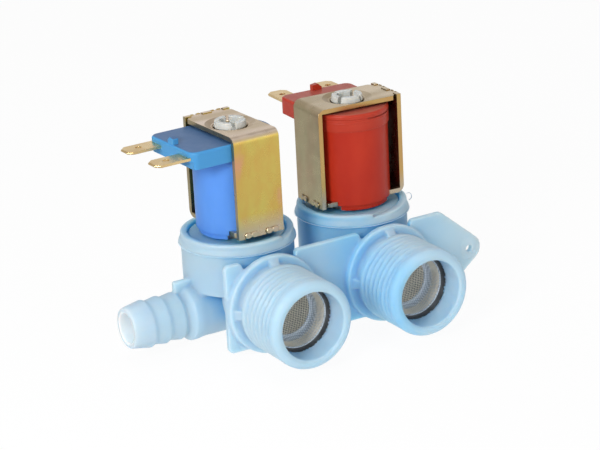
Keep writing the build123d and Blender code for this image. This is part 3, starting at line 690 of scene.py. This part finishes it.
# %% Thread and moulding sizes
THREAD_CREST = 13.5
THREAD_DEPTH = 0.85
THREAD_PITCH = 25.4 / 11.5
THREAD_BACK = -5.3
MOUTH = -24.2
CORE_RADIUS = 12.0
MOUTH_ROUND = 2.2
MOUTH_INNER_ROUND = 0.15
BACK_ROUND = 0.5
SLEEVE_INNER = CORE_RADIUS - 0.5
SLEEVE_COLUMNS = 144
SLEEVE_ROWS = 150
RIDGE_SLOPE = 2.6
RIDGE_FLAT = 0.12
LAND_BACK = 0.7
LAND_FRONT = 2.8
FADE = 1.2
VOXEL = 0.34
KEPT_TRIANGLES = 190_000
thread_length = THREAD_BACK - MOUTH - LAND_BACK - LAND_FRONT
print("turns of thread:", round(thread_length / THREAD_PITCH, 1))


# %% Threaded sleeve
def ease(value):
    """Smooth step between 0 and 1."""
    value = min(max(value, 0.0), 1.0)
    return value * value * (3 - 2 * value)


def thread_radius(y, turn_share):
    """Radius of the threaded outside at a depth y and a share of a turn."""
    phase = ((THREAD_BACK - y) / THREAD_PITCH + turn_share) % 1.0
    ridge = ease(min(phase, 1 - phase) * RIDGE_SLOPE - RIDGE_FLAT)
    fade = ease((THREAD_BACK - LAND_BACK - y) / FADE) * ease((y - MOUTH - LAND_FRONT) / FADE)
    radius = THREAD_CREST - THREAD_DEPTH * ridge * fade
    for end, rounding in ((MOUTH, MOUTH_ROUND), (THREAD_BACK, BACK_ROUND)):
        inside = rounding - abs(y - end)
        if inside > 0:
            radius = min(radius, THREAD_CREST - rounding + math.sqrt(rounding**2 - inside**2))
    return radius


def sleeve_ring(into, x, y, radii):
    """A row of points about an inlet at one depth, one for each radius."""
    ring = []
    for column, radius in enumerate(radii):
        angle = 2 * math.pi * column / len(radii)
        point = (x + radius * math.cos(angle), y, radius * math.sin(angle))
        ring.append(into.verts.new(Vector(point) * MM))
    return ring


def joined(into, near, far):
    """Faces between two closed rows of points."""
    for corner in range(len(near)):
        after = (corner + 1) % len(near)
        into.faces.new((near[corner], near[after], far[after], far[corner]))


def threaded_sleeve(into, x):
    """Adds one closed sleeve about an inlet to a bmesh."""
    rings = []
    for row in range(SLEEVE_ROWS + 1):
        y = THREAD_BACK + (MOUTH - THREAD_BACK) * row / SLEEVE_ROWS
        shares = [column / SLEEVE_COLUMNS for column in range(SLEEVE_COLUMNS)]
        rings.append(sleeve_ring(into, x, y, [thread_radius(y, share) for share in shares]))
    for y in (MOUTH, THREAD_BACK):
        rings.append(sleeve_ring(into, x, y, [SLEEVE_INNER] * SLEEVE_COLUMNS))
    for near, far in zip(rings, rings[1:] + rings[:1]):
        joined(into, near, far)


middle = (MOUTH + THREAD_BACK) / 2
print("radius half way:", [round(thread_radius(middle, share / 4), 2) for share in range(4)])

# %% Body skin
EDGE_SLACK = 0.1
WELD = 0.01


def pull_core_in(mesh_data):
    """Draws the plain cylinder over the crests in to the core radius."""
    moved = 0
    for vertex in mesh_data.vertices:
        place = vertex.co / MM
        if place.y > THREAD_BACK + EDGE_SLACK:
            continue
        x = min(SIDES.values(), key=lambda side_x: abs(side_x - place.x))
        radius = math.hypot(place.x - x, place.z)
        if radius < CORE_RADIUS - 1 and place.y < MOUTH + EDGE_SLACK:
            vertex.co.y += MOUTH_INNER_ROUND * MM
        if radius > CORE_RADIUS:
            shrink = CORE_RADIUS / radius
            vertex.co = Vector((x + (place.x - x) * shrink, place.y, place.z * shrink)) * MM
            moved += 1
    return moved


skin = solids["valve_body"].data.copy()
skin.name = "moulded_body"
moved = pull_core_in(skin)
grown = bmesh.new()
grown.from_mesh(skin)
bmesh.ops.remove_doubles(grown, verts=grown.verts, dist=WELD * MM)
for x in SIDES.values():
    threaded_sleeve(grown, x)
bmesh.ops.recalc_face_normals(grown, faces=grown.faces)
grown.to_mesh(skin)
grown.free()
body = bpy.data.objects.new("moulded_body", skin)
bpy.context.scene.collection.objects.link(body)
dress(body, body_finish)
print("points drawn in:", moved)

# %% Fuse and soften
def keep_modifiers(piece):
    """Applies a piece's modifiers to its mesh."""
    graph = bpy.context.evaluated_depsgraph_get()
    made = bpy.data.meshes.new_from_object(piece.evaluated_get(graph))
    piece.modifiers.clear()
    piece.data = made
    return made


fuse = body.modifiers.new("fuse", "REMESH")
fuse.mode = "VOXEL"
fuse.voxel_size = VOXEL * MM
fuse.use_smooth_shade = True
soften = body.modifiers.new("soften", "SMOOTH")
soften.factor = 0.5
soften.iterations = 5
keep_modifiers(body)
thin = body.modifiers.new("thin", "DECIMATE")
thin.ratio = KEPT_TRIANGLES / (2 * len(body.data.polygons))
keep_modifiers(body)
dress(body, body_finish)
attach(body, "valve")
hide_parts("valve_body")
print("body skin:", len(body.data.polygons), "faces")

# %% [markdown]
# ## Flash on the rims
#
# Where the two halves of the mould met below each rim, a hair of plastic stands out as a bright
# line, and on the hot side a curl of it has come loose. Such a thin fin would vanish in the
# remesh, so each is a piece of its own: a ring with a pointed section and a slightly uneven
# edge, and a short strip rolled into a hook. The fin catches the light, and its finish is also
# painted paler than the body, a painted highlight along the line.

# %% Flash sizes
FLASH_RADIUS = 17.75
FLASH_HEIGHT = 15.05
FLASH_ROOT = 0.3
FLASH_OUT = 0.28
FLASH_BELOW = 0.12
FLASH_ABOVE = 0.16
FLASH_COLUMNS = 180
FLASH_CHANGE = 2.5
CURL_PLACE = Vector((36.5, 11.3, 17.7))
CURL_LIE = Vector((0.87, -0.5, 0))
CURL_SIZE = (0.95, 1.15)
CURL_START = -80
CURL_SWEEP = 210
CURL_STEPS = 10
CURL_THICK = 0.16
CURL_TAPER = 0.6
print("flash stands out by up to", FLASH_OUT, "mm")

# %% Helpers for flash
# Painted highlight: the flash is painted paler than the body.
flash_painted_highlight = soft_plastic("flash", (0.55, 0.72, 0.85), (0.62, 0.78, 0.90), 0.3, 0.5, edge_mm=None)


def piece_from(name, grown):
    """A piece made from a bmesh, with its faces turned outwards."""
    bmesh.ops.recalc_face_normals(grown, faces=grown.faces)
    mesh_data = bpy.data.meshes.new(name)
    grown.to_mesh(mesh_data)
    grown.free()
    piece = bpy.data.objects.new(name, mesh_data)
    bpy.context.scene.collection.objects.link(piece)
    return piece


def flash_piece(name, points, faces):
    """A piece of flash made from points in millimetres and faces."""
    grown = bmesh.new()
    corners = [grown.verts.new(Vector(point) * MM) for point in points]
    for face in faces:
        grown.faces.new([corners[index] for index in face])
    piece = piece_from(name, grown)
    dress(piece, flash_painted_highlight)
    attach(piece, "valve")
    return piece


print("finish:", flash_painted_highlight.name)

# %% Flash
FOUR_SIDES = ((1, 0), (0, 1), (-1, 0), (0, -1))


def flash_ring(side, x):
    """A fin round a chamber, pointed outwards."""
    points, faces = [], []
    for column in range(FLASH_COLUMNS):
        angle = 2 * math.pi * column / FLASH_COLUMNS
        by_x, by_y = math.cos(angle), math.sin(angle)
        spot = Vector((by_x * FLASH_CHANGE, by_y * FLASH_CHANGE, x))
        uneven = 0.5 + 0.5 * noise.noise(spot)
        section = ((-FLASH_ROOT, -FLASH_BELOW), (FLASH_OUT * uneven, 0), (-FLASH_ROOT, FLASH_ABOVE))
        for out, up in section:
            radius = FLASH_RADIUS + out
            points.append((x + radius * by_x, CHAMBER_BACK + radius * by_y, FLASH_HEIGHT + up))
        for corner in range(3):
            here, near = column * 3, (column + 1) % FLASH_COLUMNS * 3
            after = (corner + 1) % 3
            faces.append((here + corner, near + corner, near + after, here + after))
    return flash_piece(f"{side}_flash_line", points, faces)


def flash_curl():
    """A hooked hair of flash on the hot rim, thinner towards its tip."""
    points, faces = [], []
    out, rise = CURL_SIZE
    for step in range(CURL_STEPS + 1):
        along = step / CURL_STEPS
        angle = math.radians(CURL_START + CURL_SWEEP * along)
        thick = CURL_THICK * (1 - CURL_TAPER * along)
        hook = CURL_LIE * (out * math.cos(angle)) + Vector((0, 0, rise * math.sin(angle)))
        for across, up in FOUR_SIDES:
            edge = CURL_LIE * (across * thick) + Vector((0, 0, up * thick))
            points.append(CURL_PLACE + hook + edge)
    for first in range(0, CURL_STEPS * 4, 4):
        for corner in range(4):
            after = (corner + 1) % 4
            faces.append((first + corner, first + after, first + 4 + after, first + 4 + corner))
    faces.append((3, 2, 1, 0))
    faces.append(tuple(CURL_STEPS * 4 + corner for corner in range(4)))
    return flash_piece("hot_flash_curl", points, faces)


flash_pieces = [flash_ring(side, x) for side, x in SIDES.items()] + [flash_curl()]
print("flash pieces:", [piece.name for piece in flash_pieces])

# %% [markdown]
# ## Woven screens
#
# Each inlet has a cup of woven stainless wire. A texture with holes would look flat up close, so
# the cloth is real: two sets of wires that pass over and under each other, cut as a round
# blank and drawn into the cup. A point of the flat blank keeps its angle, and its distance from
# the centre becomes distance along the cup's wall, which crowds the wires near the rim just as
# drawing does. The cut ends make the rim's ragged edge.

# %% Screen sizes
WIRE_PITCH = 0.55
WIRE_RADIUS = 0.13
WIRE_RISE = 0.9 * WIRE_RADIUS
CUT_BACK = 0.15
CUP_WALL = [
    (0.0, -9.05), (4.0, -9.2), (7.4, -9.8), (8.1, -10.4),
    (8.5, -12.1), (8.95, -14.2), (9.2, -14.95), (9.9, -15.25),
]
FOLD_RING = [
    (6.9, -9.8), (7.0, -9.98), (7.6, -10.25), (8.05, -10.8),
    (8.3, -11.7), (8.45, -12.0), (8.6, -11.6), (8.2, -10.0),
]
# A thin pale ring on the bend where the weave turns onto the ledge, a painted highlight.
BEND_HIGHLIGHT_RING = [(9.1, -14.75), (9.02, -14.95), (9.12, -15.2), (9.4, -15.3), (9.5, -15.1)]
CUT_RIM = [
    (9.35, -15.05), (9.35, -15.3), (9.85, -15.5),
    (10.1, -16.5), (10.26, -16.5), (10.26, -15.05),
]
RIM_COLUMNS = 120
TOOTH = 0.85
TOOTH_LEAST = 0.4
TOOTH_CHANGE = 0.7


def along_wall(distance):
    """Radius and depth at a distance from the cup's centre, measured along its wall."""
    for (r_low, y_low), (r_high, y_high) in zip(CUP_WALL, CUP_WALL[1:]):
        length = math.hypot(r_high - r_low, y_high - y_low)
        if distance <= length:
            share = distance / length
            return r_low + (r_high - r_low) * share, y_low + (y_high - y_low) * share
        distance -= length
    return CUP_WALL[-1]


BLANK_RADIUS = sum(math.dist(a, b) for a, b in zip(CUP_WALL, CUP_WALL[1:]))
print("blank radius:", round(BLANK_RADIUS, 2), "mm")


# %% Weave
def drawn(x, flat_a, flat_b, lift):
    """Where a point of the flat blank ends up in the cup."""
    flat = math.hypot(flat_a, flat_b)
    radius, y = along_wall(flat)
    share = radius / flat if flat else 0.0
    return Vector((x + flat_a * share, y + lift, flat_b * share)) * MM


def wire(into, points):
    """A four-sided wire through a row of points."""
    rings = []
    for index, point in enumerate(points):
        before = points[max(index - 1, 0)]
        after = points[min(index + 1, len(points) - 1)]
        run = (after - before).normalized()
        side = run.cross(Vector((0, 1, 0)))
        side = side.normalized() if side.length > 0.1 else Vector((1, 0, 0))
        top = side.cross(run).normalized()
        ring = [point + (side * a + top * b) * WIRE_RADIUS * MM for a, b in FOUR_SIDES]
        rings.append([into.verts.new(corner) for corner in ring])
    for near, far in zip(rings, rings[1:]):
        joined(into, near, far)
    into.faces.new(rings[0][::-1])
    into.faces.new(rings[-1])


def woven_cup(name, x):
    """Both sets of wires of one screen."""
    cloth = bmesh.new()
    count = int(BLANK_RADIUS / WIRE_PITCH)
    for row in range(-count, count + 1):
        across = row * WIRE_PITCH
        half = math.sqrt(max(BLANK_RADIUS**2 - across**2, 0)) - CUT_BACK
        reach = int(half / WIRE_PITCH)
        if reach < 1:
            continue
        for warp in (True, False):
            points = []
            crossings = [step * WIRE_PITCH for step in range(-reach, reach + 1)]
            for number, along in enumerate([-half] + crossings + [half]):
                over = 1 if (number + reach + row + warp) % 2 else -1
                flat = (across, along) if warp else (along, across)
                points.append(drawn(x, *flat, over * WIRE_RISE))
            wire(cloth, points)
    return piece_from(name, cloth)


print("wires each way:", 2 * int(BLANK_RADIUS / WIRE_PITCH) + 1)

# %% Fold and cut rim
def ring_piece(name, x, section, tooth=0.0):
    """A closed ring about an inlet through radii and depths, its front edge in teeth."""
    grown = bmesh.new()
    front = min(y for radius, y in section)
    rings = []
    for column in range(RIM_COLUMNS):
        angle = 2 * math.pi * column / RIM_COLUMNS
        uneven = TOOTH_LEAST + noise.noise(Vector((x, column * TOOTH_CHANGE, 0)))
        cut = tooth * (column % 2) * uneven
        ring = []
        for radius, y in section:
            depth = y + cut if y == front else y
            point = (x + radius * math.cos(angle), depth, radius * math.sin(angle))
            ring.append(grown.verts.new(Vector(point) * MM))
        rings.append(ring)
    for near, far in zip(rings, rings[1:] + rings[:1]):
        joined(grown, near, far)
    return piece_from(name, grown)


print("teeth round a rim:", RIM_COLUMNS // 2)

# %% Pressed cloth
WAVE_RATE = 20


def pressed_cloth():
    """A pale fine check, as of cloth flattened in the press, for the fold ring and for the painted
    highlight ring on the bend.
    """
    finish, tree, shader = new_finish("pressed_cloth", 0.45, 0.3)
    place = tree.nodes.new("ShaderNodeTexCoord")
    checks = []
    for axis in ("X", "Z"):
        lines = tree.nodes.new("ShaderNodeTexWave")
        lines.bands_direction = axis
        lines.inputs["Scale"].default_value = 2 * math.pi / (WAVE_RATE * WIRE_PITCH * MM)
        lines.inputs["Distortion"].default_value = 0.4
        tree.links.new(place.outputs["Object"], lines.inputs["Vector"])
        checks.append(lines.outputs["Fac"])
    check = maths(tree, "MULTIPLY", *checks)
    steps = [(0.0, (0.42, 0.47, 0.53)), (0.5, (0.78, 0.84, 0.90))]
    tree.links.new(colour_steps(tree, check, steps), shader.inputs["Base Color"])
    relief(tree, shader, check, 0.05)
    return finish


screen_fold = pressed_cloth()
print("finish:", screen_fold.name)

# %% Screens in place
screen_wire = metal("screen_wire", (0.84, 0.78, 0.66), (0.96, 0.90, 0.78), 0.45, 0.6, edge_mm=None)
screen_wire.node_tree.nodes["Principled BSDF"].inputs["Metallic"].default_value = 0.3
# The ring with teeth round each screen's rim is near black.
RIM_NEAR_BLACK = (0.02, 0.022, 0.024)
RIM_DARK_GREY = (0.085, 0.09, 0.095)
near_black_rim = soft_plastic("near_black_rim", RIM_NEAR_BLACK, RIM_DARK_GREY, 0.55, None, edge_mm=None)
for side, x in SIDES.items():
    fold = ring_piece(f"{side}_screen_fold", x, FOLD_RING)
    # Painted highlight: a pale ring along the bend.
    bend_highlight = ring_piece(f"{side}_screen_bend_highlight", x, BEND_HIGHLIGHT_RING)
    teeth = ring_piece(f"{side}_screen_cut_rim", x, CUT_RIM, TOOTH)
    for piece, finish in ((fold, screen_fold), (bend_highlight, screen_fold), (teeth, near_black_rim)):
        dress(piece, finish)
        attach(piece, "valve")
    screen = woven_cup(f"{side}_woven_screen", x)
    dress(screen, screen_wire)
    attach(screen, "valve")
    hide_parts(f"{side}_inlet_screen")
    print(screen.name, len(screen.data.polygons), "faces")

# %% [markdown]
# ## Copies of the springs and diaphragms
#
# When a plunger rises its spring gets shorter, and when an insert rises its diaphragm gives. A
# solid can do neither; here each of the four is only swapped for a copy with a mesh of its own,
# and nothing yet makes it flatten. It shows once the valve is opened up or cut away.


def soft_copy(side, part):
    """A copy with a mesh of its own that stands for a solid, which is hidden."""
    node = f"{side}_{part}"
    piece = bpy.data.objects.new(f"{node}_soft", solids[node].data.copy())
    bpy.context.scene.collection.objects.link(piece)
    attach(piece, "valve")
    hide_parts(node)
    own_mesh(piece)


for side in SIDES:
    soft_copy(side, "plunger_spring")
    soft_copy(side, "diaphragm")

# %% [markdown]
# ## Last update
#
# The view layer is brought up to date once more. Nothing made here may reach outside
# the solids by more than a hair.


bpy.context.view_layer.update()
